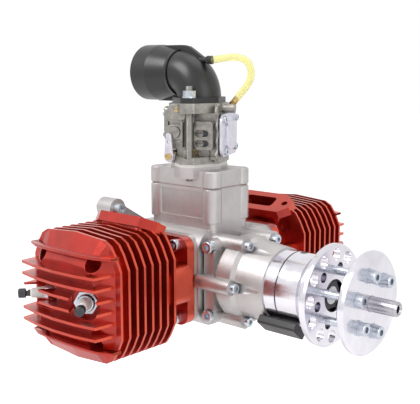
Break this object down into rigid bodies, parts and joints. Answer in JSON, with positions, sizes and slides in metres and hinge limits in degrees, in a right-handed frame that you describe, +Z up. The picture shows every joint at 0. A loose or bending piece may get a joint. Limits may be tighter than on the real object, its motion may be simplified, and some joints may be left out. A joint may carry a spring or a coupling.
{
  "type": "flat aircraft engine",
  "caption": "Flat two-stroke petrol engine for a large model aircraft, with red finned cylinders, reed intake, carburettor, intake horn and propeller drive flange.",
  "frame": {"origin": "on the crank axis, in the plane of the four mounting bosses' rear faces", "axes": "+X forward along the crank axis to the propeller, +Y along the far cylinder, +Z up to the carburettor"},
  "size_m": [0.2282, 0.2722, 0.2164],
  "materials": {
    "red_cast": "glossy orange-red anodised and lacquered castings",
    "case_cast": "satin as-cast aluminium",
    "polished": "turned and polished aluminium",
    "steel": "ground steel",
    "zinc": "bright zinc-plated steel",
    "dark_steel": "blackened steel",
    "carb_metal": "dull die-cast grey metal",
    "brass": "plain brass",
    "black_plastic": "slightly glossy black moulded plastic",
    "white_plastic": "off-white heat-insulating plastic",
    "ceramic": "glazed white insulator",
    "gasket": "grey-green gasket sheet",
    "rubber": "black seal rubber",
    "tube": "translucent yellow fuel tube"
  },
  "bodies": {
    "engine": {"base_gaskets": "gasket", "bearing_outer_races": "steel", "carburettor_adapter": "case_cast", "carburettor_body": "carb_metal", "carburettor_insulator": "white_plastic", "carburettor_studs": "zinc", "case_screws": "zinc", "cover_screws": "zinc", "crankcase": "case_cast", "cylinder_screws": "zinc", "far_cylinder": "red_cast", "front_housing": "case_cast", "fuel_inlet_barb": "brass", "fuel_tube": "tube", "ignition_sensor": "black_plastic", "intake_elbow": "black_plastic", "intake_horn": "black_plastic", "metering_cover": "zinc", "metering_gasket": "rubber", "mounting_screws": "zinc", "near_cylinder": "red_cast", "nose_ring": "polished", "pump_cover": "carb_metal", "reed_cage": "black_plastic", "reed_gasket": "gasket", "reed_housing": "case_cast", "reed_petals": "steel", "shaft_seal": "rubber", "spark_plug_cores": "dark_steel", "spark_plug_insulators": "ceramic", "spark_plug_shells": "zinc", "stud_nuts": "zinc", "throttle_pivot": "brass", "throttle_spring": "brass"},
    "crank": {"crankshaft": "steel", "bearing_inner_races": "steel", "drive_hub": "polished", "crank_nut": "dark_steel", "washer_disc": "polished", "spinner_stud": "steel", "prop_bolts": "zinc", "hub_magnet": "dark_steel"},
    "near_piston": {"near_piston": "polished", "near_piston_ring": "dark_steel", "near_wrist_pin": "steel"},
    "far_piston": {"far_piston": "polished", "far_piston_ring": "dark_steel", "far_wrist_pin": "steel"},
    "near_rod": {"near_rod": "steel", "near_crankpin": "steel"},
    "far_rod": {"far_rod": "steel", "far_crankpin": "steel"},
    "throttle_lever": {"throttle_lever": "zinc"},
    "throttle_valve": {"throttle_shaft": "brass", "throttle_plate": "brass"},
    "choke_valve": {"choke_shaft": "steel", "choke_plate": "brass", "choke_lever": "zinc"},
    "idle_needle": {"idle_needle": "steel"},
    "main_needle": {"main_needle": "steel"}
  },
  "joints": [
    {"name": "crank_spin", "type": "hinge", "parent": "engine", "child": "crank", "pos_m": [0, 0, 0], "axis": [1, 0, 0], "continuous": true},
    {"name": "piston_stroke", "type": "slide", "parent": "engine", "child": "near_piston", "axis": [0, -1, 0], "range_m": [-0.034, 0]},
    {"name": "far_piston_stroke", "type": "slide", "parent": "engine", "child": "far_piston", "axis": [0, 1, 0], "range_m": [-0.034, 0]},
    {"name": "near_rod_swing", "type": "hinge", "parent": "near_piston", "child": "near_rod", "pos_m": [0.0469, -0.079, 0], "axis": [1, 0, 0], "range_deg": [-15.9, 15.9]},
    {"name": "far_rod_swing", "type": "hinge", "parent": "far_piston", "child": "far_rod", "pos_m": [0.0631, 0.079, 0], "axis": [1, 0, 0], "range_deg": [-15.9, 15.9]},
    {"name": "throttle_turn", "type": "hinge", "parent": "engine", "child": "throttle_lever", "pos_m": [0.04645, -0.02307, 0.084], "axis": [0.4067, -0.9135, 0], "range_deg": [0, 75]},
    {"name": "throttle_valve_turn", "type": "hinge", "parent": "engine", "child": "throttle_valve", "pos_m": [0.055, 0, 0.0865], "axis": [0.4067, -0.9135, 0], "range_deg": [0, 75]},
    {"name": "choke_turn", "type": "hinge", "parent": "engine", "child": "choke_valve", "pos_m": [0.055, 0, 0.1105], "axis": [-0.4067, 0.9135, 0], "range_deg": [0, 75]},
    {"name": "idle_needle_turn", "type": "hinge", "parent": "engine", "child": "idle_needle", "pos_m": [0.0603, 0.00236, 0.0942], "axis": [0.4067, -0.9135, 0], "range_deg": [-180, 180]},
    {"name": "main_needle_turn", "type": "hinge", "parent": "engine", "child": "main_needle", "pos_m": [0.0603, 0.00236, 0.1013], "axis": [0.4067, -0.9135, 0], "range_deg": [-180, 180]}
  ],
  "couplings": [
    {"joint": "far_piston_stroke", "follows": "piston_stroke", "ratio": 1},
    {"joint": "far_rod_swing", "follows": "near_rod_swing", "ratio": 1},
    {"joint": "throttle_valve_turn", "follows": "throttle_turn", "ratio": 1}
  ]
}
